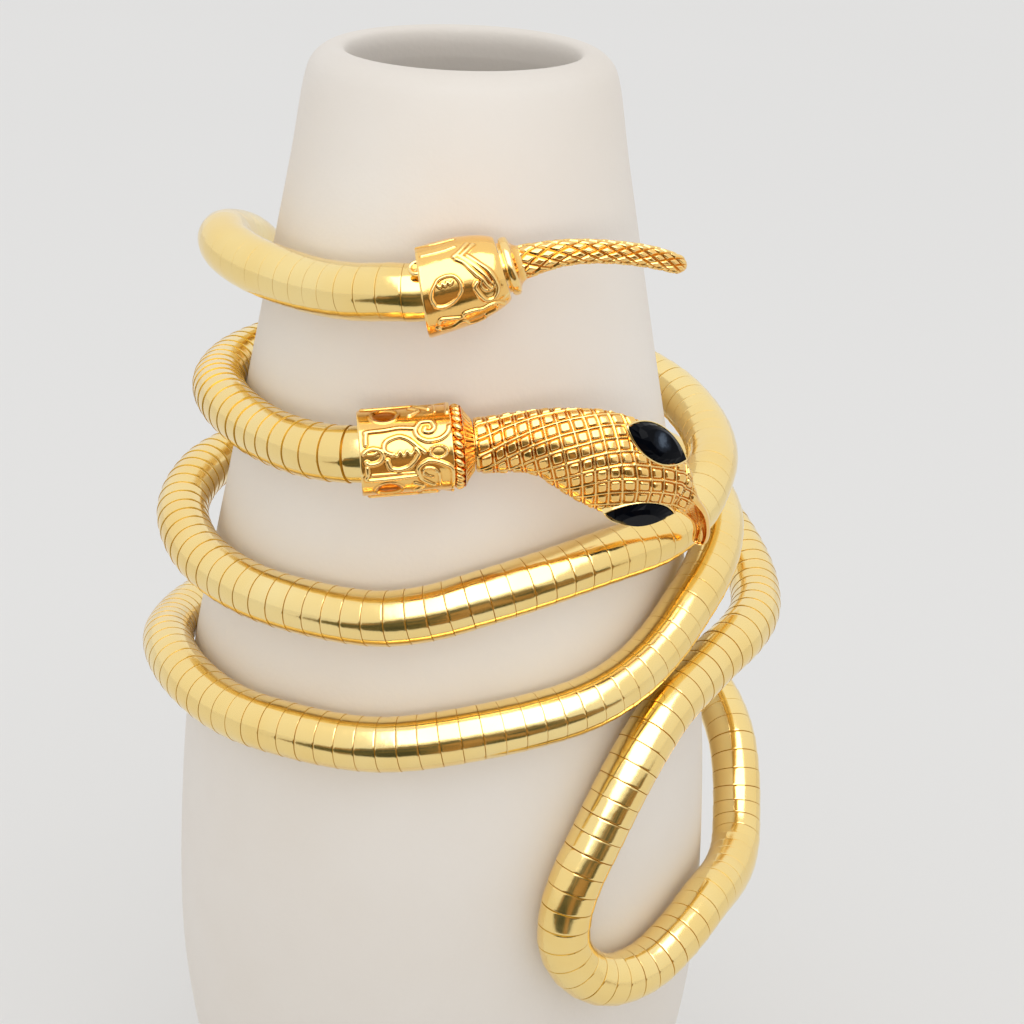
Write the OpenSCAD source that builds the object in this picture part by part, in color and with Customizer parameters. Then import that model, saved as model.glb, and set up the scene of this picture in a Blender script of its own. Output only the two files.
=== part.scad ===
// Snake wrap bracelet wound round a plain vase stand. Millimetres, z up, origin at the middle of the
// foot, the snake's head and tail at the front (-y).

/* [Stand] */

// Thickness of the vase wall
stand_wall = 4.6; // [3:0.1:5]
// Thickness of the vase floor
stand_floor = 5; // [4:0.5:8]
// Radius of the open mouth
mouth_radius = 14.2; // [13:0.1:14.4]

/* [Chain] */

// Diameter of the chain tube
chain_diameter = 6.7; // [6:0.1:6.8]
// Flat sides of the swept tube
chain_sides = 12; // [8:1:12]
// Spacing of the swept sections
chain_step = 4.6; // [4:0.2:8]

/* [Collars] */

// Outside radius of the head collar
head_collar_radius = 4.9; // [4.8:0.05:5.1]
// Bore radius of the head collar
head_collar_bore = 4.1; // [3.8:0.05:4.2]
// Beads round the head collar's shoulder
bead_count = 20; // [16:1:24]
// Radius of a bead
bead_radius = 0.62; // [0.5:0.02:0.66]
// Grooves round the fluted cone
flute_count = 24; // [16:1:30]
// Bore radius of the tail collar
tail_collar_bore = 4.5; // [4.2:0.05:4.6]
// Height of the cast relief over the wall
relief = 0.28; // [0.15:0.01:0.35]
// Width of a raised line
line_width = 0.42; // [0.3:0.02:0.5]

/* [Head] */

// Columns of scales from the neck to the snout
scale_columns = 15; // [12:1:16]
// Rows of scales from side to side
scale_rows = 10; // [8:1:10]
// Height of a square scale
scale_height = 0.2; // [0.1:0.02:0.3]
// Length of an eye stone
stone_length = 8.8; // [8:0.1:9.4]
// Width of an eye stone
stone_width = 4.3; // [4:0.1:4.8]

/* [Tail] */

// Radius of the flange ring
flange_radius = 3.4; // [3.1:0.05:3.6]
// Height of a tail scale
tail_scale_height = 0.16; // [0.08:0.02:0.24]
// Vertices round the tail, two for each scale
tail_sides = 16; // [12:2:18]

/* [Hidden] */

$fn = 64;
gold = [0.93, 0.74, 0.32];
pale_gold = [0.87, 0.8, 0.55];
onyx = [0.03, 0.03, 0.04];
bisque = [0.87, 0.85, 0.81];
small_gap = 0.06;

// The vase outside, columns: radius, height.
stand_rows = [
    [24.5, 0], [26.5, 2], [29.6, 8], [32.2, 16], [34.3, 24], [35.6, 32], [36.4, 40], [36.6, 50], [36.3, 60],
    [35.4, 74], [33.9, 86], [31.5, 98], [28.7, 112], [25.9, 126], [23.2, 140], [20.9, 152], [19.1, 162],
    [18.3, 163.6], [16.9, 164.7], [15.5, 165]];
// The lip turns over into the mouth, columns: radius, height.
lip_rows = [[15.5, 165], [14.6, 164.6], [mouth_radius, 163.6], [mouth_radius, 161]];
neck_height = 158;
outline_parts = 2;

// The route of the chain's middle line, columns: turn from the front (degrees, clockwise from above),
// height, distance from the vase axis. Row 29 is the back of the second turn, where the halves meet.
route = [
    [12, 124.3, 33.1], [18.4, 123.9, 34.1], [25.5, 123.3, 33.8], [34.2, 122.8, 32.8], [49.3, 122.2, 31],
    [70, 122.2, 30.3], [92, 121.4, 30.3], [115, 120.8, 30.6], [145, 120.4, 31], [180, 119.8, 31.2],
    [215, 118.6, 32], [240, 116.8, 33.2], [256, 115, 33.9], [271, 113.7, 34], [285, 112.9, 33.8],
    [297, 111, 33.7], [310, 109.8, 33.2], [325, 109.5, 32.9], [343, 108, 33.3], [354, 106.4, 33.6],
    [364, 104.6, 33.9], [375, 103.4, 34.2], [398, 102.9, 34.3], [414, 102.8, 34.4], [428, 103.2, 34.8],
    [444, 104.2, 35.2], [459, 105, 34.9], [475, 105, 34.8], [505, 105, 34.6], [545, 105.2, 35],
    [585, 105.4, 35.2], [608, 105.2, 35.5], [627, 104.2, 35.6], [642, 102.8, 35.4], [654, 101.2, 35.4],
    [663, 99.2, 35.4], [671, 96.6, 35.5], [681, 94.1, 35.9], [693, 92.2, 36.3], [714, 90.3, 36.7],
    [733, 88.2, 37.1], [754, 87.6, 37.3], [767, 87.2, 37.4], [781, 87.4, 37.5], [798, 86.8, 37.5],
    [816, 84.6, 37.6], [834, 82.9, 38], [865, 81.2, 38.5], [905, 78.6, 39.3], [935, 75.8, 40.2],
    [957, 72.6, 41], [971, 70.2, 41.4], [980, 67.4, 41.5], [986, 63.8, 41.5], [991, 59.8, 41.4],
    [998, 57, 41.2], [1008, 56.8, 40.8], [1020, 57.2, 40.5], [1030, 55.2, 40.4], [1039, 53.4, 40.3],
    [1048, 54, 40.3], [1054, 57, 40.1], [1057, 61, 40], [1057, 65.4, 39.9], [1055, 69.8, 39.6],
    [1051, 74.6, 39.1], [1045, 80.8, 38.5], [1038, 85.8, 37.9], [1031, 88.5, 37.4], [1023, 89.8, 37.4],
    [1014, 91, 38.2], [1006, 91.8, 39.7], [997, 92.2, 41], [988, 92.4, 41.7], [978, 93.6, 42.2],
    [962, 96.4, 43], [945, 101, 43.3], [928, 106.2, 42.6], [911, 111.4, 40.8], [895, 116, 39.2],
    [880, 120.6, 38.4], [867, 125.2, 36.6], [854, 130, 33.6], [842, 134.2, 31], [830, 137.4, 29.4],
    [815, 139.8, 29], [804, 140.9, 29.2], [793, 141, 28.9], [781, 140.8, 28.1], [769, 140.7, 27.4],
    [756.4, 140.7, 27.3], [743.6, 141.4, 28.5], [734.1, 142.2, 29.2], [727.7, 142.4, 29.1],
    [722, 143.2, 28.6]];
half_row = 29;

// The head's middle line, columns: x, y, z, half width, height over it, depth under it, roundness.
head_rows = [
    [2.6, -31.45, 125.1, 3.15, 2.8, 2.6, 2], [5.4, -31.3, 125.35, 3.3, 2.8, 2.5, 2],
    [8.3, -31.5, 125.75, 3.55, 2.8, 2.4, 2], [10.8, -31.75, 125.75, 4.05, 2.9, 2.3, 1.9],
    [12.9, -31.85, 125.35, 4.7, 3, 2.2, 1.8], [15.1, -31.7, 124.7, 5.3, 3.2, 2.1, 1.65],
    [17.6, -31.4, 123.75, 5.7, 3.3, 2, 1.5], [20.3, -30.9, 122.45, 5.75, 3.3, 2, 1.45],
    [22.7, -30, 121.1, 5.35, 3.1, 1.9, 1.45], [24.7, -29.1, 120, 4.5, 2.6, 1.8, 1.6],
    [25.9, -28.4, 119.3, 3.1, 2, 1.5, 2]];
// The hooked snout goes on from there with the same columns.
hook_rows = [
    [26.8, -27.9, 118.2, 1.7, 1.2, 1.2, 2], [28.1, -27.2, 116.6, 1, 0.9, 0.9, 2],
    [29.5, -26, 114.8, 0.88, 0.8, 0.8, 2], [30.2, -24.8, 112.9, 0.84, 0.8, 0.8, 2],
    [30.3, -23.9, 111.3, 0.82, 0.77, 0.77, 2], [30.2, -23.5, 110.6, 0.65, 0.6, 0.6, 2],
    [30.1, -23.4, 110.3, 0.25, 0.22, 0.22, 2]];
// The way the top of the head looks.
head_up = [0, -0.9925, 0.122];
head_steps = 3;
hook_steps = 2;
under_points = 6;
under_roundness = 2.4;

// Each eye, columns: side (up -1, down 1), place on the head's middle line, distance from it, turn
// towards it, tilt away from it.
eyes = [[-1, 7.33, 4.4, 4, 38.5], [1, 8.3, 3.9, 20, 32.5]];
eye_lift = 1.15;
bezel_width = 0.35;
bezel_height = 0.35;
pocket_depth = 1.1;
crown = 0.85;
stone_points = 20;

// The tail's middle line, columns: x, y, z, radius.
tail_rows = [
    [7, -28, 145.95, 1.75], [9, -28, 146.57, 1.55], [11.6, -27.75, 147.15, 1.4], [14.5, -27, 147.25, 1.3],
    [18.3, -25.8, 146.9, 1.24], [22.2, -24.2, 146.05, 1.2], [24.9, -22.95, 145.1, 1.08]];
tail_tip = [[25.75, -22.5, 144.7, 0.95], [26.2, -22.25, 144.45, 0.6], [26.35, -22.15, 144.35, 0.2]];
tail_steps = 5;

head_collar_from = [-10.7, -32.5, 124];
head_collar_to = [2.45, -31.45, 125.1];
head_collar_roll = -107;
head_collar_sleeve = 10.7;
head_collar_shoulder = 11.9;
bead_place = 11.25;
head_cone_length = 1.3;
head_cone_end = 3.2;
head_collar_depth = 8;
head_stub = 2.15;
head_stub_length = 2.6;

tail_collar_from = [-3.8, -28.7, 142.3];
tail_collar_to = [5.15, -28.1, 145.3];
tail_collar_roll = -98;
tail_collar_length = 9.4;
tail_collar_depth = 6.5;
tail_stub = 1.5;
// The collar's rim lies in a tilted plane: its place, the angle of its near side, its tilt.
tail_rim = -0.12;
tail_rim_angle = 85;
tail_rim_tilt = 7.7;
flange_gap = 0.35;
boss_angle = -45;
boss_place = 0.65;
boss_radius = 1;
// The tail collar outside, columns: radius, height along it.
tail_collar_rows = [[5.15, -1], [5.12, 3], [4.9, 5.6], [4.4, 7.8], [3.9, 9], [3.6, 9.4]];

// Raised lines of the head collar, columns: angle round it, place along it. They repeat three times.
panel_lines = [
    [[-15, 0.8], [-28, 0.9], [-32, 1.1], [-33, 3], [-35, 4.6], [-33, 6.3]],
    [[16, 0.8], [27, 0.8], [35, 1], [35, 2.7], [34, 4.8], [33, 6.3]]];
leaf_lines = [
    [[1, 3.7], [-3, 3], [-9, 2.8], [-17, 3.1], [-21, 3.8], [-23, 4.6], [-20, 5.4], [-14, 6.1], [-7, 6.7],
        [0, 7.4]],
    [[-5, 6.4], [1, 6.7], [7, 6.5], [14, 6], [20, 5.2], [22, 4.3], [20, 3.6], [13, 3.2], [8, 3.1]]];
curl_line = [
    [-3, 0.5], [-7, 0.9], [-9, 1.5], [-8, 2], [-5, 2.5], [1, 2.7], [7, 2.5], [11, 1.9], [12, 1.2], [9, 0.8]];
upper_scroll = [
    [-32, 10.4], [-25, 10.2], [-19, 9.7], [-15, 8.9], [-14, 8], [-17, 7.2], [-22, 6.7], [-29, 6.5],
    [-37, 6.8], [-42, 7.4], [-42, 8.1], [-37, 8.6], [-30, 8.6], [-26, 8.1], [-27, 7.6], [-33, 7.7]];
lower_scroll = [
    [63, 10.3], [43, 10.5], [31, 10.5], [23, 10.2], [18, 9.5], [14, 8.7], [12, 7.9], [15, 7.2], [21, 6.6],
    [31, 6.6], [40, 6.9], [46, 7.5], [52, 8.2]];
arrow_line = [[46, 6.1], [54, 7], [64, 6]];
// Raised lines of the tail collar, with the same columns. They repeat twice.
hook_lines = [
    [[-39, 6.1], [-32, 6.6], [-23, 7.2], [-14, 7.8], [-5, 8.1], [6, 8.3], [17, 8.3], [26, 8], [31, 7.4],
        [29, 6.8], [21, 6.3], [11, 6], [4, 5.9], [-1, 6.3]],
    [[-38, 4.8], [-31, 5.5], [-21, 6], [-11, 6.5], [-2, 7], [6, 7.2], [13, 7.5]],
    [[-42, 4.6], [-49, 5.5], [-60, 6.4]],
    [[-41, 5.4], [-49, 6.3], [-57, 7]]];
band_lines = [
    [[38, 0.9], [33, 1.3], [36, 2.3], [40, 3.5], [35, 4.1], [36, 5], [40, 6.1], [39, 6.8], [41, 7.6],
        [56, 8.4]],
    [[46, 0.5], [53, 1.1], [54, 2.1], [48, 3.4], [62, 4.5], [63, 5.8], [55, 6.4], [56, 7.2], [47, 7.8]]];

function unit(v) = v / norm(v);

function row_point(row) = [-row[2] * sin(row[0]), -row[2] * cos(row[0]), row[1]];

function knot(a, b) = sqrt(norm(b - a));

// A point of the smooth curve between the second and third of four points.
function between(p0, p1, p2, p3, u) =
    let (
        t1 = knot(p0, p1),
        t2 = t1 + knot(p1, p2),
        t3 = t2 + knot(p2, p3),
        t = t1 + (t2 - t1) * u,
        a1 = ((t1 - t) * p0 + t * p1) / t1,
        a2 = ((t2 - t) * p1 + (t - t1) * p2) / (t2 - t1),
        a3 = ((t3 - t) * p2 + (t - t2) * p3) / (t3 - t2),
        b1 = ((t2 - t) * a1 + t * a2) / t2,
        b2 = ((t3 - t) * a2 + (t - t1) * a3) / (t3 - t1)
    )
    ((t2 - t) * b1 + (t - t1) * b2) / (t2 - t1);

function near_point(points, i) =
    let (last = len(points) - 1)
    i < 0 ? 2 * points[0] - points[1] : i > last ? 2 * points[last] - points[last - 1] : points[i];

function curve_at(points, i, u) =
    between(near_point(points, i - 1), points[i], points[i + 1], near_point(points, i + 2), u);

// The curve through rows first to last, with the same number of pieces in each span.
function even_curve(points, pieces) = concat(
    [for (i = [0 : len(points) - 2]) for (k = [0 : pieces - 1]) curve_at(points, i, k / pieces)],
    [points[len(points) - 1]]);

// The curve with pieces of about the same length.
function long_curve(points, first, last, step) = concat(
    [for (i = [first : last - 1])
        let (pieces = max(1, round(norm(points[i + 1] - points[i]) / step)))
        for (k = [0 : pieces - 1]) curve_at(points, i, k / pieces)],
    [points[last]]);

function tangent(points, i) =
    let (last = len(points) - 1) unit(points[min(i + 1, last)] - points[max(i - 1, 0)]);

// The direction square to the tangent that is nearest to the wanted one.
function square_to(tangent, wanted) = unit(wanted - (wanted * tangent) * tangent);

// Triangles of a closed skin over rings of points, each ring with the same number.
function skin(rings, sides) = concat(
    [for (i = [0 : rings - 2]) for (k = [0 : sides - 1])
        let (a = i * sides + k, b = i * sides + (k + 1) % sides)
        each [[a, a + sides, b + sides], [a, b + sides, b]]],
    [for (k = [1 : sides - 2]) [0, k, k + 1]],
    [for (k = [1 : sides - 2]) let (e = (rings - 1) * sides) [e, e + k + 1, e + k]]);

module skinned(rings) {
    sides = len(rings[0]);
    polyhedron(points = [for (ring = rings) each ring], faces = skin(len(rings), sides));
}

// Stands a part made along z on the line between two points.
module along(from, to, roll = 0) {
    d = to - from;
    translate(from) rotate([0, acos(d.z / norm(d)), atan2(d.y, d.x)]) rotate([0, 0, roll]) children();
}

route_points = [for (row = route) row_point(row)];
chain_path = long_curve(route_points, 0, len(route) - 1, chain_step);
half_way = len(long_curve(route_points, 0, half_row, chain_step)) - 1;

function chain_ring(i) =
    let (
        middle = chain_path[i],
        t = tangent(chain_path, i),
        n = square_to(t, [middle.x, middle.y, 0]),
        b = cross(t, n),
        r = chain_diameter / 2
    )
    [for (k = [0 : chain_sides - 1]) let (a = 360 * k / chain_sides) middle + r * (n * cos(a) + b * sin(a))];

// The swept tube between two places of the path.
module chain_piece(first, last) {
    skinned([for (i = [first : last]) chain_ring(i)]);
}

module chain_head_half() {
    color(pale_gold) chain_piece(0, half_way);
}

module chain_tail_half() {
    color(pale_gold) chain_piece(half_way, len(chain_path) - 1);
}

module vase() {
    outside = even_curve(stand_rows, outline_parts);
    inside = [for (i = [len(stand_rows) - 4 : -1 : 4])
        if (stand_rows[i].y < neck_height) [stand_rows[i].x - stand_wall, stand_rows[i].y]];
    base = [[stand_rows[3].x - stand_wall, stand_rows[3].y], [stand_rows[2].x - stand_wall - 1, 9],
        [stand_rows[2].x - stand_wall - 5, stand_floor], [0, stand_floor]];
    lip = [for (i = [1 : 3]) lip_rows[i]];
    color(bisque) rotate_extrude($fn = 96)
        polygon(concat([[0, 0]], outside, lip, even_curve(concat(inside, base), outline_parts)));
}

// An outline of even width round a line through flat points.
function side_of(points, i) = let (d = tangent(points, i)) [-d.y, d.x];
function line_outline(points, width) = concat(
    [for (i = [0 : len(points) - 1]) points[i] + side_of(points, i) * width / 2],
    [for (i = [len(points) - 1 : -1 : 0]) points[i] - side_of(points, i) * width / 2]);

// A flat shape, x round the wall and y along it, pushed out through the wall at an angle.
module on_wall(angle, inner, outer) {
    rotate([0, 0, angle]) rotate([90, 0, 90])
        translate([0, 0, inner]) linear_extrude(outer - inner) children();
}

// A raised line on a round wall, whose points have an angle and a place along it.
module raised_line(points, radius, inner) {
    middle = (min([for (p = points) p.x]) + max([for (p = points) p.x])) / 2;
    on_wall(middle, inner, radius + 1)
        polygon(line_outline([for (p = points) [radius * sin(p.x - middle), p.y]], line_width));
}

module oval(size) {
    scale([size.x / size.y, 1]) circle(d = size.y, $fn = 24);
}

module raised_loop(middle, size, width) {
    translate(middle) difference() {
        oval(size);
        oval(size - [2 * width, 2 * width]);
    }
}

// One third of the head collar's relief, round its leaf.
module head_panel() {
    inner = head_collar_bore + 0.35;
    outer = head_collar_radius + 1;
    for (line = concat(panel_lines, leaf_lines, [curl_line, upper_scroll, lower_scroll, arrow_line]))
        raised_line(line, head_collar_radius, inner);
    on_wall(0, inner, outer) translate([0, 8.95]) oval([1.3, 1.9]);
    on_wall(60, inner, outer) raised_loop([0, 3.1], [2, 3.3], 0.4);
}

module head_collar() {
    shoulder_radius = head_collar_radius - 0.45;
    cone_radius = head_collar_radius - 0.15;
    cone_slope = atan2(cone_radius - head_cone_end, head_cone_length);
    color(gold) along(head_collar_from, head_collar_to, head_collar_roll) difference() {
        union() {
            cylinder(r = head_collar_radius, h = head_collar_sleeve);
            cylinder(r = shoulder_radius, h = head_collar_shoulder);
            translate([0, 0, head_collar_shoulder])
                cylinder(r1 = cone_radius, r2 = head_cone_end, h = head_cone_length);
            for (k = [0 : bead_count - 1]) rotate([0, 0, 360 * k / bead_count])
                translate([shoulder_radius, 0, bead_place]) sphere(r = bead_radius, $fn = 24);
            intersection() {
                cylinder(r = head_collar_radius + relief, h = head_collar_sleeve);
                union() for (turn = [0, 120, 240]) rotate([0, 0, turn]) head_panel();
            }
        }
        translate([0, 0, -1]) cylinder(r = head_collar_bore, h = head_collar_depth + 1);
        translate([0, 0, head_collar_depth]) cylinder(r = head_stub + 0.15, h = 10);
        for (k = [0 : flute_count - 1]) rotate([0, 0, 360 * (k + 0.5) / flute_count])
            translate([cone_radius + 0.1, 0, head_collar_shoulder + 0.05]) rotate([0, -cone_slope, 0])
                cylinder(r = 0.2, h = 3, $fn = 16);
    }
}

// Half a section of the head seen along it: x to the side, y up.
function arch(half_width, height, roundness, angle) =
    let (s = sin(angle)) [half_width * s, height * pow(max(0, 1 - pow(abs(s), roundness)), 1 / roundness)];

head_line = concat(head_rows, hook_rows);
// The head's axis data at any place from the neck (0) to the snout (1).
function head_row_at(u) =
    let (x = u * (len(head_rows) - 1), i = min(floor(x), len(head_rows) - 2))
    curve_at(head_line, i, x - i);

function middle_of(row) = [row[0], row[1], row[2]];

function head_ring(row, t, raised) =
    let (
        middle = middle_of(row),
        n = square_to(t, head_up),
        s = cross(t, n),
        top = head_steps * scale_rows,
        lift = [for (k = [0 : top]) raised && k % head_steps != 0 ? scale_height : 0],
        points = concat(
            [for (k = [0 : top]) arch(row[3] + lift[k], row[4] + lift[k], row[6], -90 + 180 * k / top)],
            [for (k = [1 : under_points])
                let (a = arch(row[3], row[5], under_roundness, 90 - 180 * k / (under_points + 1)))
                [a.x, -a.y]])
    )
    [for (p = points) middle + s * p.x + n * p.y];

head_count = head_steps * scale_columns;
head_data = concat(
    [for (j = [0 : head_count]) head_row_at(j / head_count)],
    [for (i = [len(head_rows) - 1 : len(head_line) - 2])
        for (k = [1 : hook_steps]) curve_at(head_line, i, k / hook_steps)]);
head_middles = [for (row = head_data) middle_of(row)];

module head_body() {
    skinned([for (j = [0 : len(head_data) - 1])
        head_ring(head_data[j], tangent(head_middles, j), j < head_count && j % head_steps != 0)]);
}

// Stands a part on the place of an eye: x along the stone, z out of it.
module at_eye(eye) {
    row = curve_at(head_rows, floor(eye[1]), eye[1] - floor(eye[1]));
    after = curve_at(head_rows, floor(eye[1]), eye[1] - floor(eye[1]) + 0.02);
    t = unit(middle_of(after) - middle_of(row));
    n = square_to(t, head_up);
    s = cross(t, n) * eye[0];
    x = t * cos(eye[3]) - s * sin(eye[3]);
    out = square_to(x, n * cos(eye[4]) + s * sin(eye[4]));
    y = cross(out, x);
    p = middle_of(row) + s * eye[2] + n * eye_lift;
    multmatrix([[x.x, y.x, out.x, p.x], [x.y, y.y, out.y, p.y], [x.z, y.z, out.z, p.z], [0, 0, 0, 1]])
        children();
}

// A pointed oval prism, the stone's shape grown by a margin.
module pointed_oval(grow, from, to) {
    w = stone_width / 2 + grow;
    l = stone_length / 2 + grow * 1.6;
    r = (l * l + w * w) / (2 * w);
    translate([0, 0, from]) linear_extrude(to - from) intersection() {
        translate([0, r - w]) circle(r, $fn = 120);
        translate([0, w - r]) circle(r, $fn = 120);
    }
}

module snake_head() {
    color(gold) difference() {
        union() {
            head_body();
            along(head_collar_from, head_collar_to) translate([0, 0, norm(head_collar_to - head_collar_from)])
                translate([0, 0, -head_stub_length]) cylinder(r = head_stub, h = head_stub_length + 0.8);
            for (eye = eyes) at_eye(eye) pointed_oval(bezel_width, -1.6, bezel_height);
        }
        for (eye = eyes) at_eye(eye) pointed_oval(small_gap, bezel_height - pocket_depth, 5);
    }
}

// A ring of the cut stone, the pointed oval made smaller and lifted.
function stone_ring(size, height, turned) =
    let (w = stone_width / 2, l = stone_length / 2, r = (l * l + w * w) / (2 * w), half = asin(l / r))
    [for (k = [0 : stone_points - 1])
        let (
            j = k % (stone_points / 2) + (turned ? 0.5 : 0),
            a = half * (1 - 4 * j / stone_points),
            flip = k < stone_points / 2 ? 1 : -1
        )
        [flip * r * sin(a) * size, flip * (r * cos(a) - (r - w)) * size, height]];

module eye_stone(eye) {
    floor_height = bezel_height - pocket_depth + small_gap;
    color(onyx) at_eye(eye) skinned([
        stone_ring(0.55, floor_height, false), stone_ring(1, bezel_height - 0.25, false),
        stone_ring(1, bezel_height - 0.05, false), stone_ring(0.82, bezel_height + crown * 0.55, true),
        stone_ring(0.58, bezel_height + crown, false)]);
}

module eye_stone_upper() {
    eye_stone(eyes[0]);
}

module eye_stone_lower() {
    eye_stone(eyes[1]);
}

module tail_collar() {
    inner = tail_collar_bore + 0.1;
    outer = tail_collar_rows[0].x + 1;
    wall = even_curve(tail_collar_rows, 3);
    grown = [for (row = wall) [row.x + relief, row.y]];
    color(gold) along(tail_collar_from, tail_collar_to, tail_collar_roll) difference() {
        union() {
            difference() {
                rotate_extrude() polygon(concat([[0, -1]], wall, [[0, tail_collar_length]]));
                translate([0, 0, tail_rim]) rotate([0, 0, tail_rim_angle]) rotate([0, tail_rim_tilt, 0])
                    translate([-10, -10, -10]) cube([20, 20, 10]);
            }
            on_wall(boss_angle, inner, tail_collar_rows[0].x) translate([0, boss_place])
                circle(r = boss_radius);
            intersection() {
                rotate_extrude() polygon(concat([[0, -1]], grown, [[0, tail_collar_length]]));
                union() for (turn = [0, 180]) rotate([0, 0, turn]) {
                    on_wall(-3, 3, outer) raised_loop([0, 2.7], [3.1, 3.5], 0.35);
                    for (line = concat(hook_lines, band_lines)) raised_line(line, tail_collar_rows[1].x, 3);
                }
            }
        }
        translate([0, 0, -3]) cylinder(r = tail_collar_bore, h = tail_collar_depth + 3);
        cylinder(r = tail_stub + 0.2, h = 12);
    }
}

tail_data = concat(even_curve(tail_rows, tail_steps), tail_tip);
tail_middles = [for (row = tail_data) middle_of(row)];

function tail_ring(j) =
    let (
        t = tangent(tail_middles, j),
        n = square_to(t, [0, -1, 0]),
        b = cross(t, n),
        scaled = j > 1 && j < len(tail_data) - len(tail_tip)
    )
    [for (k = [0 : tail_sides - 1])
        let (
            a = 360 * k / tail_sides,
            lift = (j + k) % 2 == 0 ? tail_scale_height : -tail_scale_height / 2,
            r = tail_data[j][3] + (scaled ? lift : 0)
        )
        tail_middles[j] + r * (n * cos(a) + b * sin(a))];

module snake_tail() {
    color(gold) union() {
        skinned([for (j = [0 : len(tail_data) - 1]) tail_ring(j)]);
        along(tail_collar_from, tail_collar_to) {
            translate([0, 0, tail_collar_depth + 0.6]) cylinder(r = tail_stub, h = 4);
            translate([0, 0, tail_collar_length + flange_gap]) rotate_extrude() polygon([
                [0, 0], [flange_radius - 0.3, 0], [flange_radius, 0.3], [flange_radius, 0.8],
                [flange_radius - 0.3, 1.1], [2.8, 1.2], [2.15, 1.9], [1.85, 2.6], [0, 2.6]]);
        }
    }
}

vase();
chain_head_half();
chain_tail_half();
head_collar();
snake_head();
eye_stone_upper();
eye_stone_lower();
tail_collar();
snake_tail();
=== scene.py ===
import math

import bpy
import numpy as np
from mathutils import Matrix


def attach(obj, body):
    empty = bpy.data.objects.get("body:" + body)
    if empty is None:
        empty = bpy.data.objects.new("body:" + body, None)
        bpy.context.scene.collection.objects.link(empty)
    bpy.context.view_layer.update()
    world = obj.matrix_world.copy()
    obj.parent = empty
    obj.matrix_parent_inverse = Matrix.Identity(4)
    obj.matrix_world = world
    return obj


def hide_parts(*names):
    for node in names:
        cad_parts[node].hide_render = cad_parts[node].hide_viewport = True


# The snake wrap bracelet on its vase. The tables are in millimetres and the meshes are made in metres.
# The route, the vase and the main sizes repeat those of the part's source.
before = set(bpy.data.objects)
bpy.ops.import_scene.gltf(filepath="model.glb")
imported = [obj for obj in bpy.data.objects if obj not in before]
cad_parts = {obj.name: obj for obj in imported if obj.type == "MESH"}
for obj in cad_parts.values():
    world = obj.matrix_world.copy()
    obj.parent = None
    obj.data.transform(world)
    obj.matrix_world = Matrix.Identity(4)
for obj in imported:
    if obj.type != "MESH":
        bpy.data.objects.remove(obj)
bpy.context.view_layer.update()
MM = 0.001

# Camera: place, turns in degrees, lens, sensor, and the nearest distance that it shows, in metres.
CAMERA_PLACE = (0, -260, 211.3)
CAMERA_PITCH = 22.44
CAMERA_YAW = 1.79
CAMERA_ROLL = 2.25
LENS = 74.43
SENSOR = 36
CLIP_START = 0.01

# Vase, from the foot up, columns: radius, height.
STAND_ROWS = [
    (24.5, 0), (26.5, 2), (29.6, 8), (32.2, 16), (34.3, 24), (35.6, 32), (36.4, 40), (36.6, 50), (36.3, 60),
    (35.4, 74), (33.9, 86), (31.5, 98), (28.7, 112), (25.9, 126), (23.2, 140), (20.9, 152), (19.1, 162),
    (18.3, 163.6), (16.9, 164.7), (15.5, 165)]
LIP_ROWS = [(14.6, 164.6), (14.2, 163.6), (14.2, 161)]
FOOT_THICKNESS = 5
# The vase's hollow, from the neck down to the foot.
INSIDE_ROWS = [
    (16.3, 152), (18.6, 140), (21.3, 126), (24.1, 112), (26.9, 98), (29.3, 86), (30.8, 74), (31.7, 60),
    (32, 50), (31.8, 40), (31, 32), (29.7, 24), (27.6, 16), (24, 9), (20, FOOT_THICKNESS)]
# How near to the axis the foot's faces end.
AXIS_GAP = 0.05
VASE_SIDES = 160

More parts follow.
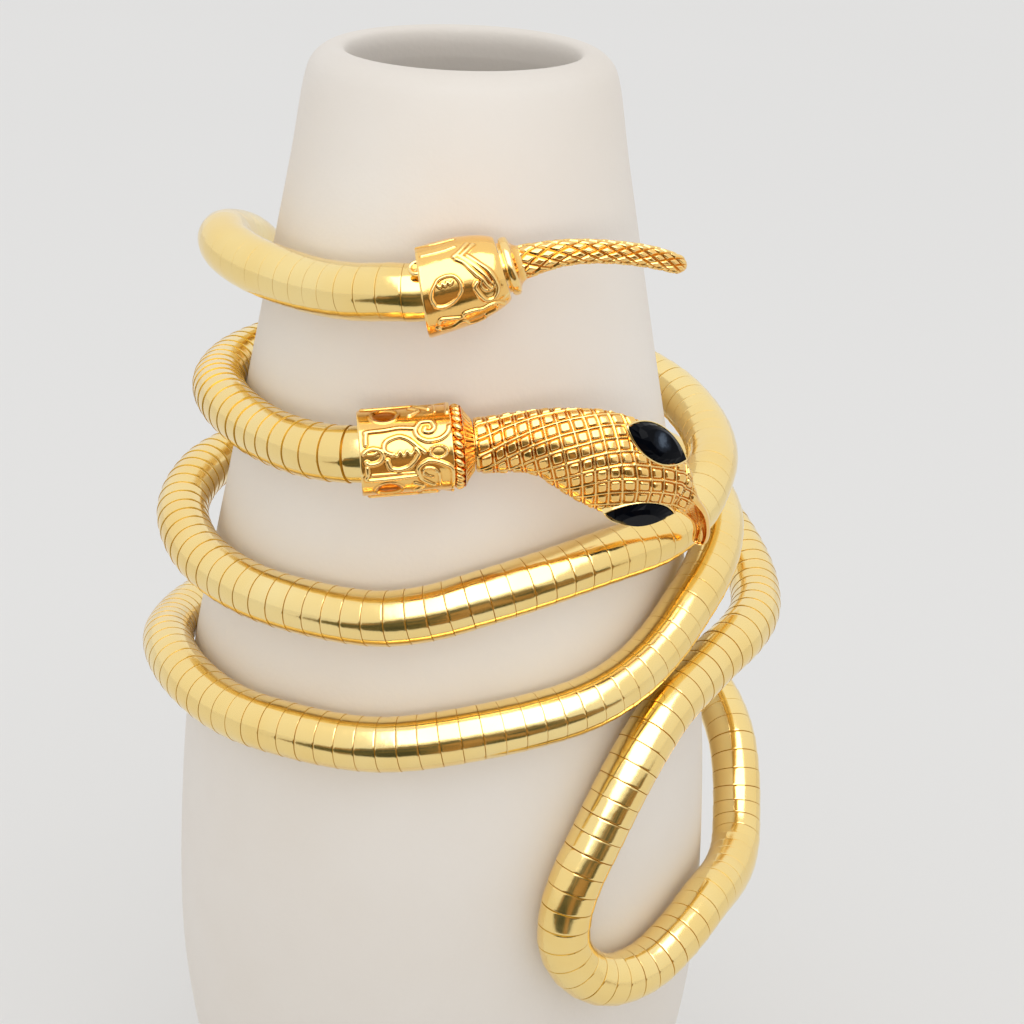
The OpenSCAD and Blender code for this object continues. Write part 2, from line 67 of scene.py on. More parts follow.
# Chain: its route, columns: turn from the front (degrees, clockwise from above), height, distance from
# the vase's axis. The two halves meet at the row with the number HALF_ROW.
ROUTE = [
    (12, 124.3, 33.1), (18.4, 123.9, 34.1), (25.5, 123.3, 33.8), (34.2, 122.8, 32.8), (49.3, 122.2, 31),
    (70, 122.2, 30.3), (92, 121.4, 30.3), (115, 120.8, 30.6), (145, 120.4, 31), (180, 119.8, 31.2),
    (215, 118.6, 32), (240, 116.8, 33.2), (256, 115, 33.9), (271, 113.7, 34), (285, 112.9, 33.8),
    (297, 111, 33.7), (310, 109.8, 33.2), (325, 109.5, 32.9), (343, 108, 33.3), (354, 106.4, 33.6),
    (364, 104.6, 33.9), (375, 103.4, 34.2), (398, 102.9, 34.3), (414, 102.8, 34.4), (428, 103.2, 34.8),
    (444, 104.2, 35.2), (459, 105, 34.9), (475, 105, 34.8), (505, 105, 34.6), (545, 105.2, 35),
    (585, 105.4, 35.2), (608, 105.2, 35.5), (627, 104.2, 35.6), (642, 102.8, 35.4), (654, 101.2, 35.4),
    (663, 99.2, 35.4), (671, 96.6, 35.5), (681, 94.1, 35.9), (693, 92.2, 36.3), (714, 90.3, 36.7),
    (733, 88.2, 37.1), (754, 87.6, 37.3), (767, 87.2, 37.4), (781, 87.4, 37.5), (798, 86.8, 37.5),
    (816, 84.6, 37.6), (834, 82.9, 38), (865, 81.2, 38.5), (905, 78.6, 39.3), (935, 75.8, 40.2),
    (957, 72.6, 41), (971, 70.2, 41.4), (980, 67.4, 41.5), (986, 63.8, 41.5), (991, 59.8, 41.4),
    (998, 57, 41.2), (1008, 56.8, 40.8), (1020, 57.2, 40.5), (1030, 55.2, 40.4), (1039, 53.4, 40.3),
    (1048, 54, 40.3), (1054, 57, 40.1), (1057, 61, 40), (1057, 65.4, 39.9), (1055, 69.8, 39.6),
    (1051, 74.6, 39.1), (1045, 80.8, 38.5), (1038, 85.8, 37.9), (1031, 88.5, 37.4), (1023, 89.8, 37.4),
    (1014, 91, 38.2), (1006, 91.8, 39.7), (997, 92.2, 41), (988, 92.4, 41.7), (978, 93.6, 42.2),
    (962, 96.4, 43), (945, 101, 43.3), (928, 106.2, 42.6), (911, 111.4, 40.8), (895, 116, 39.2),
    (880, 120.6, 38.4), (867, 125.2, 36.6), (854, 130, 33.6), (842, 134.2, 31), (830, 137.4, 29.4),
    (815, 139.8, 29), (804, 140.9, 29.2), (793, 141, 28.9), (781, 140.8, 28.1), (769, 140.7, 27.4),
    (756.4, 140.7, 27.3), (743.6, 141.4, 28.5), (734.1, 142.2, 29.2), (727.7, 142.4, 29.1),
    (722, 143.2, 28.6)]
HALF_ROW = 29
ROUTE_PIECES = 12
CHAIN_RADIUS = 3.34
BAND_PITCH = 2.4
BAND_SIDES = 50
# How much of the chain's bend a band takes up, and how much the bands tilt at random (degrees).
BAND_CURVE = 0.7
BAND_TILT = 0.3
# How much wider a band is where it starts than at its middle, with a closed and with an open seam.
BAND_FLARE = (0.012, 0.05)
# A band's rings, columns: share of the pitch, distance after the seam's edge, height over the band.
BAND_ROWS = [
    (0, 0, -0.015), (0, 0.09, 0), (0, 0.22, 0), (0.5, 0, 0.004), (1, -0.22, 0), (1, -0.09, 0),
    (1, 0, -0.015)]
# A closed seam's half width and depth, and what an open one adds to each.
SEAM_HALF_WIDTH = (0.015, 0.115)
SEAM_DEPTH = (0.04, 0.2)
# How open the seams are along the chain, columns: row of the route, openness.
SEAM_ROWS = [
    (0, 1), (11, 1), (13, 0.5), (18, 0.4), (21, 0.25), (24, 0.6), (26, 1), (28, 1), (31, 0.6), (35, 0.5),
    (38, 0.25), (46, 0.35), (49, 0.5), (56, 0.7), (60, 0.9), (63, 0.7), (66, 0.4), (74, 0.4), (80, 0.5),
    (88, 0.35), (94, 0.35), (97, 0.9), (99, 1)]
# The shares of that openness between which the seams vary at random.
SEAM_SPREAD = (0.55, 1.1)
SEAM_SEED = 5

# Head and the hook at its snout, columns: x, y, z of the middle line, half width, height over it, depth
# under it, roundness.
HEAD_ROWS = [
    (2.6, -31.45, 125.1, 3.15, 2.8, 2.6, 2), (5.4, -31.3, 125.35, 3.3, 2.8, 2.5, 2),
    (8.3, -31.5, 125.75, 3.55, 2.8, 2.4, 2), (10.8, -31.75, 125.75, 4.05, 2.9, 2.3, 1.9),
    (12.9, -31.85, 125.35, 4.7, 3, 2.2, 1.8), (15.1, -31.7, 124.7, 5.3, 3.2, 2.1, 1.65),
    (17.6, -31.4, 123.75, 5.7, 3.3, 2, 1.5), (20.3, -30.9, 122.45, 5.75, 3.3, 2, 1.45),
    (22.7, -30, 121.1, 5.35, 3.1, 1.9, 1.45), (24.7, -29.1, 120, 4.5, 2.6, 1.8, 1.6),
    (25.9, -28.4, 119.3, 3.1, 2, 1.5, 2)]
HOOK_ROWS = [
    (26.95, -27.9, 118.2, 2.05, 1.3, 1.2, 2), (28.4, -27.2, 116.6, 1.4, 1, 0.9, 2),
    (29.7, -26, 114.8, 1.12, 0.85, 0.8, 2), (30.32, -24.8, 112.9, 1.03, 0.8, 0.8, 2),
    (30.42, -23.9, 111.2, 1.02, 0.77, 0.77, 2), (30.3, -23.5, 110.4, 0.85, 0.6, 0.6, 2),
    (30.2, -23.4, 110.05, 0.35, 0.22, 0.22, 2)]
# The direction that the top of the head faces, and the roundness of its underside.
HEAD_UP = (0, -0.9925, 0.122)
UNDER_ROUNDNESS = 2.4
# The trough down the hook: its depth as a share of the hook's, its place off the middle, and where its
# sides, start and end slope, across the hook and in rows before the hook's end.
TROUGH_DEPTH = 0.62
TROUGH_OFFSET = 0.14
TROUGH_SIDES = (0.66, 0.46)
TROUGH_START = (5.6, 4.4)
TROUGH_END = (0.75, 1.1)
# The oval raised in it: rows before the hook's end, half length, half width, then where its edge slopes
# and how much of the depth it fills.
TROUGH_OVAL = (2.15, 1.15, 0.4)
TROUGH_OVAL_EDGE = (1, 0.6)
TROUGH_OVAL_RISE = 0.75
# The rough start of the trough: its height, where it fades, and its waves along, across and aslant.
TROUGH_ROUGHNESS = 0.3
TROUGH_ROUGH_FADE = (3.2, 3.8)
TROUGH_WAVES = (13, 16, 5)
# Painted shade in the trough: its strength at the middle, and how much less per unit across it.
TROUGH_PAINTED_SHADE = (0.75, 0.5)
# The start of the neck, which goes into the collar, columns: size, how far back.
NECK_ROWS = [(0.68, 0.9), (0.68, 0.12), (0.9, 0.1), (0.97, 0.05)]
# The column and the row of scales at a place x, z on the head's flattened skin, counted from the middle
# of the head: factors of 1, x, z, xx, xz, zz, xxx, xxz and xzz.
SCALE_MIDDLE = (15, 122)
SCALE_REACH = (10, 5)
SCALE_COLUMN_FACTORS = (7.79, 6.88, 0.33, 0.14, -0.32, 0.14, -0.43, -0.33, -0.05)
SCALE_ROW_FACTORS = (6.14, 2.25, -2.69, -1.52, -0.52, -0.2, -0.77, 0.03, 0.07)
SCALE_HEIGHT = 0.22
# Where the scales fade: rows after the head's start and its end, and degrees from its top.
SCALES_START = (0.02, 0.12)
SCALES_END = (2, 1.3)
SCALES_SIDE = (90, 84)
# A scale is a cushion in a net of thin lines: its squareness, the slope of its edge and how much it
# falls off, then the slope and the height of the net's lines, and the heights over which the low places
# take painted shade.
STUD_SQUARENESS = 5
STUD_EDGE = (0.76, 0.5)
STUD_FALL = 0.2
NET_EDGE = (0.78, 0.96)
NET_HEIGHT = 0.75
STUD_PAINTED_SHADE = (0.5, 0.1)

# Eyes, columns: side, place on the head's middle line, distance from it, turn towards it and tilt
# away from it (degrees).
EYES = {"eye_stone_upper": (-1, 7.33, 4.4, 4, 38.5), "eye_stone_lower": (1, 8.3, 3.9, 20, 32.5)}
EYE_LIFT = 1.15
STONE_LENGTH = 8.8
STONE_WIDTH = 4.3
# How much further a margin reaches at the stone's points than at its sides.
POINT_MARGIN = 1.6
# Reach of the painted reflection, a grey-blue patch on the upper stone's table.
PAINTED_GLINT_REACH = 1.9
# The bezel's section, columns: distance outside the stone, height.
BEZEL_ROWS = [
    (0.27, -1.5), (0.26, 0.05), (0.22, 0.22), (0.16, 0.28), (0.09, 0.26), (0.05, 0.12), (0.05, -0.7)]
# The bed sunk in the head under a stone: its margin round the stone, its height, and the height below
# which the head stays as it is.
BED_MARGIN = 0.2
BED_HEIGHT = -0.95
BED_REACH = -1.5

# Head collar: the middle of its rim, the end of its fluted cone, and its turn round the line between
# them (degrees).
HEAD_COLLAR = ((-10.7, -32.5, 124), (2.45, -31.45, 125.1), -107)
HEAD_COLLAR_RADIUS = 4.9
# Its hollow: the radius and the depth of the chain's bore, and the radius of the hole beyond.
HEAD_COLLAR_HOLLOW = (4.1, 8, 2.3)
# Where its sleeve, its beads and its cone end, and the cone's radius at its start and its end.
HEAD_COLLAR_SLEEVE = 10.7
HEAD_COLLAR_SHOULDER = 11.93
HEAD_COLLAR_END = 13.12
SHOULDER_RADIUS = 4.78
CONE_END_RADIUS = 2.95
# How the cone curves in, and how far before it the beads end.
CONE_CURVE = 0.75
CONE_GAP = 0.06
BEAD_COUNT = 27
BEAD_RADIUS = 4.42
BEAD_HEIGHT = 0.56
BEAD_PLACE = 11.28
BEAD_REACH = 0.6
# How far the beads lean, in beads a millimetre, and where the gaps between them take painted shade.
BEAD_LEAN = 0.45
BEAD_PAINTED_SHADE = (0.75, 1.1)
FLUTE_COUNT = 36
FLUTE_HEIGHT = 0.26
# The share of a flute's height that lies under the cone, how far down the cone the flutes start, and
# how much painted shade their valleys get.
FLUTE_SUNK = 0.7
FLUTE_START = 0.12
FLUTE_PAINTED_SHADE = 0.9
# How much the rim and the sleeve's far edge are rounded, and how far the rounding reaches.
RIM_ROUNDING = 0.12
SLEEVE_ROUNDING = 0.1
ROUNDING_REACH = 0.15
# The chamfer inside a collar's rim: its width, and its length along the collar.
CHAMFER_WIDTH = 0.1
CHAMFER_LENGTH = 0.14
COLLAR_SIDES = 432
# Raised lines: their height and width, those of thinner ones, and where their edges slope.
LINE_SIZE = (0.26, 0.72)
FINE_LINE_SIZE = (0.15, 0.4)
LINE_EDGE = (1, 0.2)
LINE_PIECES = 4
# How much painted shade the foot of a raised line gets, the heights where that starts and ends, and
# those over which a sunk place comes to take painted shade.
FOOT_PAINTED_SHADE = 0.55
FOOT_START = (0, 0.015)
FOOT_END = (0.1, 0.03)
SUNK_PAINTED_SHADE = (-0.02, -0.15)

# Raised lines of the head collar, columns: angle round it, place along it. The pattern is how often
# they repeat and the lowest angle.
HEAD_COLLAR_PATTERN = (3, -50)
HEAD_COLLAR_LINES = [
    [(-15, 0.8), (-28, 0.9), (-32, 1.1), (-33, 3), (-35, 4.6), (-33, 6.3)],
    [(16, 0.8), (27, 0.8), (35, 1), (35, 2.7), (34, 4.8), (33, 6.3)],
    [(1, 3.7), (-3, 3), (-9, 2.8), (-17, 3.1), (-21, 3.8), (-23, 4.6), (-20, 5.4), (-14, 6.1), (-7, 6.7),
     (0, 7.4)],
    [(-5, 6.4), (1, 6.7), (7, 6.5), (14, 6), (20, 5.2), (22, 4.3), (20, 3.6), (13, 3.2), (8, 3.1)],
    [(-3, 0.5), (-7, 0.9), (-9, 1.5), (-8, 2), (-5, 2.5), (1, 2.7), (7, 2.5), (11, 1.9), (12, 1.2),
     (9, 0.8)],
    [(-32, 10.4), (-25, 10.2), (-19, 9.7), (-15, 8.9), (-14, 8), (-17, 7.2), (-22, 6.7), (-29, 6.5),
     (-37, 6.8), (-42, 7.4), (-42, 8.1), (-37, 8.6), (-30, 8.6), (-26, 8.1), (-27, 7.6), (-33, 7.7)],
    [(63, 10.3), (43, 10.5), (31, 10.5), (23, 10.2), (18, 9.5), (14, 8.7), (12, 7.9), (15, 7.2), (21, 6.6),
     (31, 6.6), (40, 6.9), (46, 7.5), (52, 8.2)],
    [(46, 6.1), (54, 7), (64, 6)]]
# Thinner lines of the head collar.
HEAD_COLLAR_FINE_LINES = [
    [(27, 1.3), (27, 3.3), (28, 6.1)],
    [(-2, 0.9), (-2, 1.5), (-4, 2)],
    [(-1, 3.9), (3, 4.2), (-3, 4.6), (3, 5), (-3, 5.4), (2, 5.8), (-2, 6.2)],
    [(59, 8.9), (38, 8.9), (29, 8.7), (23, 8.1), (22, 7.6), (24, 7.2), (29, 7.1), (34, 7.5), (37, 8.1)]]
# Ovals of the head collar, columns: angle, place, size round it, size along it, height of the ring round
# them, height inside it.
HEAD_COLLAR_OVALS = [(1, 8.95, 1.6, 2.3, 0.26, -0.12), (58, 3.1, 3.1, 3.8, 0.1, -0.2)]
# Where the outside of an oval's ring and the edge of its floor slope, as shares of its size.
OVAL_RING_EDGE = (1.05, 0.85)
OVAL_FLOOR_EDGE = (0.92, 0.55)

# Tail collar: its two ends and its turn as for the head collar, then its outside, columns: radius,
# place along it.
TAIL_COLLAR = ((-3.8, -28.7, 142.3), (5.15, -28.1, 145.3), -98)
TAIL_COLLAR_ROWS = [(5.15, -1), (5.12, 3), (4.9, 5.6), (4.4, 7.8), (3.9, 9), (3.6, 9.4)]
TAIL_COLLAR_HOLLOW = (4.5, 6.5, 1.7)
# Its rim lies in a tilted plane: middle place, how far it swings, and the angle where it is highest.
TAIL_RIM = (-0.12, 0.7, -95)
# The share of its length over which the rim is rounded.
TAIL_ROUNDING_SHARE = 0.02
# The oval ring raised on it, columns: angle, place.
TAIL_RING = [
    (-1, 0.95), (-7, 1.2), (-13, 1.7), (-19, 2.4), (-20, 3.1), (-19, 3.7), (-15, 4.2), (-8, 4.5), (-2, 4.5),
    (4, 4.3), (9, 3.8), (14, 3), (16, 2.1), (14, 1.3), (8, 1), (2, 0.9), (-1, 0.95)]
TAIL_RING_WIDTH = 0.5
# Raised lines of the tail collar, columns: angle, place, and a width where it differs.
TAIL_COLLAR_PATTERN = (2, -90)
TAIL_COLLAR_LINES = [
    [(-39, 6.1), (-32, 6.6), (-23, 7.2), (-14, 7.8), (-5, 8.1), (6, 8.3), (17, 8.3), (26, 8), (31, 7.4),
     (29, 6.8), (21, 6.3), (11, 6), (4, 5.9), (-1, 6.3)],
    [(-38, 4.8), (-31, 5.5), (-21, 6), (-11, 6.5), (-2, 7), (6, 7.2), (13, 7.5)],
    [(-42, 4.6), (-49, 5.5), (-60, 6.4)],
    [(-41, 5.4), (-49, 6.3), (-57, 7)],
    [(angle, place, TAIL_RING_WIDTH) for angle, place in TAIL_RING],
    [(38, 0.9), (33, 1.3), (36, 2.3), (40, 3.5), (35, 4.1), (36, 5), (40, 6.1), (39, 6.8), (41, 7.6),
     (56, 8.4)],
    [(46, 0.5), (53, 1.1), (54, 2.1), (48, 3.4), (62, 4.5), (63, 5.8), (55, 6.4), (56, 7.2), (47, 7.8)]]
TAIL_COLLAR_FINE_LINES = [
    [(-13, 1.9), (-9, 2.2), (-13, 2.5), (-9, 2.8), (-13, 3.1), (-9, 3.4), (-12, 3.7)],
    [(0, 6.8), (6, 6.6), (13, 6.9), (16, 7.4), (13, 7.9), (6, 7.9)],
    [(-85, 0.6), (-77, 3), (-78, 5.1)],
    [(-58, 1.1), (-56, 3.5), (-59, 5)]]
# A broad raised band, columns: angle, place, width.
TAIL_COLLAR_BAND = [
    (-44, 5, 0.9), (-35, 5.8, 1), (-24, 6.5, 1), (-13, 7.1, 0.85), (-4, 7.5, 0.6), (6, 7.8, 0.35)]
BAND_RELIEF = 0.24
TAIL_COLLAR_OVALS = [(-2, 2.75, 2.7, 3.1, 0, -0.1)]
# The boss on its rim: angle and place, then columns: radius, distance from the collar's axis.
BOSS_ANGLE = -45
BOSS_PLACE = 0.3
BOSS_ROWS = [
    (0.05, 4.72), (0.45, 4.74), (0.58, 4.85), (0.68, 4.98), (0.8, 5.03), (0.93, 4.98), (1, 4.85), (1, 4.6)]
BOSS_SIDES = 48

# Tail: its middle line, columns: x, y, z, radius.
TAIL_ROWS = [
    (7, -28, 145.95, 1.95), (9, -28, 146.57, 1.7), (11.6, -27.75, 147.15, 1.47), (14.5, -27, 147.25, 1.33),
    (18.3, -25.8, 146.9, 1.24), (22.2, -24.2, 146.05, 1.2), (24.9, -22.95, 145.1, 1.08),
    (25.75, -22.5, 144.7, 0.95), (26.2, -22.25, 144.45, 0.6), (26.35, -22.15, 144.35, 0.2)]
TAIL_SCALE_PITCH = 1.1
TAIL_SCALES_ROUND = 8
TAIL_SCALE_HEIGHT = 0.32
TAIL_SCALE_FOOT = 0.14
# Where the scales fade in after the start and out before the end, the slope of a scale's edge, how far
# it leans, and the heights over which the low places take painted shade.
TAIL_SCALES_START = (0.1, 0.5)
TAIL_SCALES_END = (0.3, 1.2)
DIAMOND_EDGE = (1, 0.45)
DIAMOND_LEAN = 0.2
TAIL_PAINTED_SHADE = (0.3, 0.03)
# The flange and neck between the tail collar and the tail, columns: radius, place along the collar.
FLANGE_ROWS = [
    (1.55, 7), (1.55, 9.46), (2.9, 9.46), (2.9, 9.75), (3.1, 9.75), (3.25, 9.82), (3.38, 10), (3.41, 10.3),
    (3.36, 10.58), (3.18, 10.75), (2.9, 10.84), (2.55, 10.95), (2.3, 11.15), (2.12, 11.4), (2, 11.7),
    (1.7, 11.9)]
FLANGE_SIDES = 96

# Angles from which an edge is sharp (degrees).
SMOOTH_CREASE = 50
COLLAR_CREASE = 60
BAND_CREASE = 25

# Stage, in metres: the floor's reach, and the corners of the card that the gold mirrors.
FLOOR_REACH = 6
CARD_CORNERS = [(-0.3, -0.19, 0.005), (0.45, -0.19, 0.005), (0.45, -0.75, 0.27), (-0.3, -0.75, 0.27)]
# Lamps, columns: place, aim, size, watts. The spread is in degrees.
SOFT_BOX = ((0.06, -0.42, 0.67), (0.03, 0, 0.2), (0.85, 0.84), 5.2)
TOP_LIGHT = ((0.1, -0.25, 0.5), (0, 0, 0.14), (0.3, 0.3), 0.12)
FRONT_LIGHT = ((0.01, -0.27, 0.17), (0, 0, 0.13), (0.16, 0.05), 0.01)
FRONT_LIGHT_SPREAD = 44
DOME_STRENGTH = 0.95

# Shapes

def unit(v):
    return v / np.linalg.norm(v, axis=-1, keepdims=True)


def square_to(tangent, wanted):
    """The direction square to the tangent that is nearest to the wanted one."""
    wanted = np.asarray(wanted, float)
    return unit(wanted - np.sum(wanted * tangent, axis=-1, keepdims=True) * tangent)


def curve(rows, places):
    """Points of the smooth curve through the rows, at places counted in rows."""
    rows = np.asarray(rows, float)
    rows = np.vstack([2 * rows[0] - rows[1], rows, 2 * rows[-1] - rows[-2]])
    places = np.asarray(places, float)
    span = np.clip(np.floor(places).astype(int), 0, len(rows) - 4)
    p0, p1, p2, p3 = (rows[span + i] for i in range(4))

    def knot(a, b):
        return np.sqrt(np.linalg.norm(b - a, axis=1, keepdims=True))

    t1 = knot(p0, p1)
    t2 = t1 + knot(p1, p2)
    t3 = t2 + knot(p2, p3)
    t = t1 + (t2 - t1) * (places - span)[:, None]
    a1 = ((t1 - t) * p0 + t * p1) / t1
    a2 = ((t2 - t) * p1 + (t - t1) * p2) / (t2 - t1)
    a3 = ((t3 - t) * p2 + (t - t2) * p3) / (t3 - t2)
    b1 = ((t2 - t) * a1 + t * a2) / t2
    b2 = ((t3 - t) * a2 + (t - t1) * a3) / (t3 - t1)
    return ((t2 - t) * b1 + (t - t1) * b2) / (t2 - t1)


def whole_curve(rows, pieces):
    """The curve through all the rows, with the same number of pieces in each span."""
    return curve(rows, np.linspace(0, len(rows) - 1, (len(rows) - 1) * pieces + 1))


def lengths(points):
    """The length along the points up to each one."""
    return np.concatenate([[0], np.cumsum(np.linalg.norm(np.diff(points[:, :3], axis=0), axis=1))])


def spaced(points, count):
    """The points' polyline, resampled to an even spacing."""
    along = lengths(points)
    wanted = np.linspace(0, along[-1], count)
    return np.stack([np.interp(wanted, along, column) for column in points.T], axis=1)


def smooth_step(low, high, value):
    """0 at low, 1 at high, and a soft slope between them. Low may be over high."""
    t = np.clip((value - low) / (high - low), 0, 1)
    return t * t * (3 - 2 * t)


def shell(rings, looped=False):
    """Points and faces of a closed skin over rings of points. In a looped one the last ring meets the
    first, and any other has flat ends."""
    rings = np.asarray(rings, float)
    count, sides = rings.shape[:2]
    i = np.arange(count if looped else count - 1)[:, None]
    k = np.arange(sides)[None]
    after, beside = (i + 1) % count, (k + 1) % sides
    quads = np.stack([i * sides + k, after * sides + k, after * sides + beside, i * sides + beside], -1)
    faces = quads.reshape(-1, 4)
    points = rings.reshape(-1, 3)
    a, b, c, d = (points[faces[:, n]] - points.mean(0) for n in range(4))
    volume = np.sum(a * np.cross(b, c)) + np.sum(a * np.cross(c, d))
    faces = faces.tolist()
    if not looped:
        last = (count - 1) * sides
        faces += [list(range(sides)), list(range(last + sides - 1, last - 1, -1))]
    if volume < 0:
        faces = [face[::-1] for face in faces]
    return points, faces


def joined(shells):
    """Several skins as one."""
    points, faces = [], []
    for some_points, some_faces in shells:
        first = sum(len(p) for p in points)
        points.append(some_points)
        faces += [[first + v for v in face] for face in some_faces]
    return np.concatenate(points), faces


def add_object(name, data):
    thing = bpy.data.objects.new(name, data)
    bpy.context.scene.collection.objects.link(thing)
    return thing


def add_piece(name, skin, material, node, crease, painted_shade_amounts=None):
    """Makes a piece of the object from a skin, in place of its plain node. The last argument gives each of
    the first points its painted shade, 0 to 1, which follows how deep in its relief the point lies."""
    points, faces = skin
    mesh = bpy.data.meshes.new(name)
    mesh.from_pydata((points * MM).tolist(), [], faces)
    mesh.polygons.foreach_set("use_smooth", [True] * len(faces))
    mesh.set_sharp_from_angle(angle=math.radians(crease))
    mesh.materials.append(material)
    # Stores the painted shade amounts on the points, for the cast gold to darken by.
    if painted_shade_amounts is not None:
        values = np.zeros(len(points), np.float32)
        values[:painted_shade_amounts.size] = painted_shade_amounts.ravel()
        mesh.attributes.new("painted_shade", "FLOAT", "POINT").data.foreach_set("value", values)
    piece = add_object(name, mesh)
    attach(piece, "root")
    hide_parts(node)
    return piece


def placed(skin, start, end, roll):
    """A skin made along z, put on the line between two points."""
    points, faces = skin
    start = np.array(start, float)
    d = np.array(end, float) - start
    lean = math.acos(d[2] / np.linalg.norm(d))
    turn = (Matrix.Rotation(math.atan2(d[1], d[0]), 3, "Z") @ Matrix.Rotation(lean, 3, "Y")
            @ Matrix.Rotation(math.radians(roll), 3, "Z"))
    return start + points @ np.array(turn).T, faces


def round_angles(sides):
    """Even angles round a circle (degrees)."""
    return np.arange(sides) * 360 / sides


def turned(rows, sides):
    """Rings of a turned form round z, from rows of radius and height."""
    a = np.radians(round_angles(sides))
    rows = np.asarray(rows, float)
    r, z = rows[:, :1], rows[:, 1:2]
    return np.stack([r * np.cos(a), r * np.sin(a), z + 0 * a], -1)


def spokes_round(n, b, angle):
    """Directions at the angles (degrees) round each point of a line, from its two directions across."""
    a = np.radians(angle)
    return n[:, None] * np.cos(a)[None, :, None] + b[:, None] * np.sin(a)[None, :, None]


# Relief

def line_height(x, y, line, width):
    """Height, 0 to 1, of a soft-edged line over flat places. A third column of the line is its width."""
    tiny = 1e-9
    nearest = np.full(x.shape, np.inf)
    half = line[:, 2] / 2 if line.shape[1] > 2 else np.full(len(line), width / 2)
    for (ax, ay), (bx, by), a_half, b_half in zip(line[:-1, :2], line[1:, :2], half[:-1], half[1:]):
        dx, dy = bx - ax, by - ay
        t = np.clip(((x - ax) * dx + (y - ay) * dy) / (dx * dx + dy * dy + tiny), 0, 1)
        off = np.hypot(x - ax - t * dx, y - ay - t * dy) / (a_half + t * (b_half - a_half))
        nearest = np.minimum(nearest, off)
    return smooth_step(*LINE_EDGE, nearest)


def wall_relief(wall, lines, height, width=None):
    """Height of raised lines over a round wall. The wall is its angles, places and radius, how often the
    pattern repeats round it, and the pattern's lowest angle."""
    angle, place, radius, repeats, low = wall
    x = np.radians((angle - low) % (360 / repeats) + low) * radius
    relief = np.zeros(angle.shape)
    for line in lines:
        drawn = whole_curve(line, LINE_PIECES)
        drawn[:, 0] = np.radians(drawn[:, 0]) * radius
        relief = np.maximum(relief, line_height(x, place, drawn, width) * height)
    return relief


def stud_height(x, y):
    """Height, 0 to 1, of a square cushion in each cell of a grid of unit cells, inside a net of thin
    raised lines that follow the cells' borders."""
    across, up = 2 * np.abs(x % 1 - 0.5), 2 * np.abs(y % 1 - 0.5)
    reach = (across ** STUD_SQUARENESS + up ** STUD_SQUARENESS) ** (1 / STUD_SQUARENESS)
    cushion = smooth_step(*STUD_EDGE, reach) * (1 - STUD_FALL * reach ** 2)
    return np.maximum(cushion, NET_HEIGHT * smooth_step(*NET_EDGE, np.maximum(across, up)))


def diamond_height(x, y):
    """Height, 0 to 1, of pointed scales in the staggered cells of a grid, raised towards higher x."""
    row = np.round(x)
    heights = []
    for near in (row - 1, row, row + 1):
        off = x - near
        side = (y - near / 2 + 0.5) % 1 - 0.5
        inside = np.abs(off) + 2 * np.abs(side)
        lean = 1 - DIAMOND_LEAN + DIAMOND_LEAN * np.clip(off, -1, 1)
        heights.append(smooth_step(*DIAMOND_EDGE, inside) * lean)
    return np.maximum.reduce(heights)


# Materials

def new_material(name, **sockets):
    """A material whose shader sockets have the values given."""
    material = bpy.data.materials.new(name)
    material.use_nodes = True
    shader = material.node_tree.nodes["Principled BSDF"]
    for socket, value in sockets.items():
        shader.inputs[socket.replace("_", " ")].default_value = value
    return material, material.node_tree, shader


def add_node(tree, kind, links=(), **values):
    """A shader node with its values, and links from other nodes' outputs to its inputs."""
    node = tree.nodes.new(kind)
    for name, value in values.items():
        if name in node.bl_rna.properties:
            setattr(node, name, value)
        else:
            node.inputs[name.replace("_", " ")].default_value = value
    for socket, output in dict(links).items():
        tree.links.new(output, node.inputs[socket])
    return node


def noise(tree, scale, detail):
    """The value of a noise texture in the object's own metres."""
    place = add_node(tree, "ShaderNodeTexCoord").outputs["Object"]
    texture = add_node(tree, "ShaderNodeTexNoise", {"Vector": place}, Scale=scale, Detail=detail)
    return texture.outputs["Fac"]


def ramp(tree, value, stops):
    """A colour ramp with its stops, each a place and a colour."""
    node = add_node(tree, "ShaderNodeValToRGB", {"Fac": value})
    elements = node.color_ramp.elements
    while len(elements) < len(stops):
        elements.new(0.5)
    for element, (place, colour) in zip(elements, stops):
        element.position = place
        element.color = (*colour, 1)
    return node.outputs["Color"]


def add_tint(tree, shader, value, stops):
    """The base colour, from a ramp over the value."""
    tree.links.new(ramp(tree, value, stops), shader.inputs["Base Color"])


def add_bump(tree, shader, scale, detail, strength, distance):
    """Fine bumps from a noise. Distance is their height in metres."""
    bump = add_node(tree, "ShaderNodeBump", {"Height": noise(tree, scale, detail)},
                    Strength=strength, Distance=distance)
    tree.links.new(bump.outputs["Normal"], shader.inputs["Normal"])


def add_polish(tree, shader, scale):
    """The roughness of polished metal, a little duller in places."""
    blur = add_node(tree, "ShaderNodeMapRange", {"Value": noise(tree, scale, detail=4)},
                    To_Min=0.08, To_Max=0.2)
    tree.links.new(blur.outputs["Result"], shader.inputs["Roughness"])


def chain_gold():
    """Polished pale gold with a faint cloudiness and fine handling marks."""
    material, tree, shader = new_material("chain_gold", Metallic=1)
    tints = [(0.3, (0.975, 0.705, 0.255)), (0.7, (0.995, 0.795, 0.37))]
    add_tint(tree, shader, noise(tree, scale=70, detail=3), tints)
    add_polish(tree, shader, scale=260)
    add_bump(tree, shader, scale=420, detail=2, strength=0.25, distance=0.00012)
    return material


def seam_shade_gold():
    """Gold painted darker and more orange in the narrow seams between the chain's bands, as painted shade.
    """
    material, tree, shader = new_material("seam_shade_gold", Metallic=1, Roughness=0.5)
    # Painted shade: darker, more orange gold for the seams' faces.
    tints = [(0.3, (0.56, 0.31, 0.025)), (0.7, (0.7, 0.42, 0.06))]
    add_tint(tree, shader, noise(tree, scale=400, detail=2), tints)
    return material


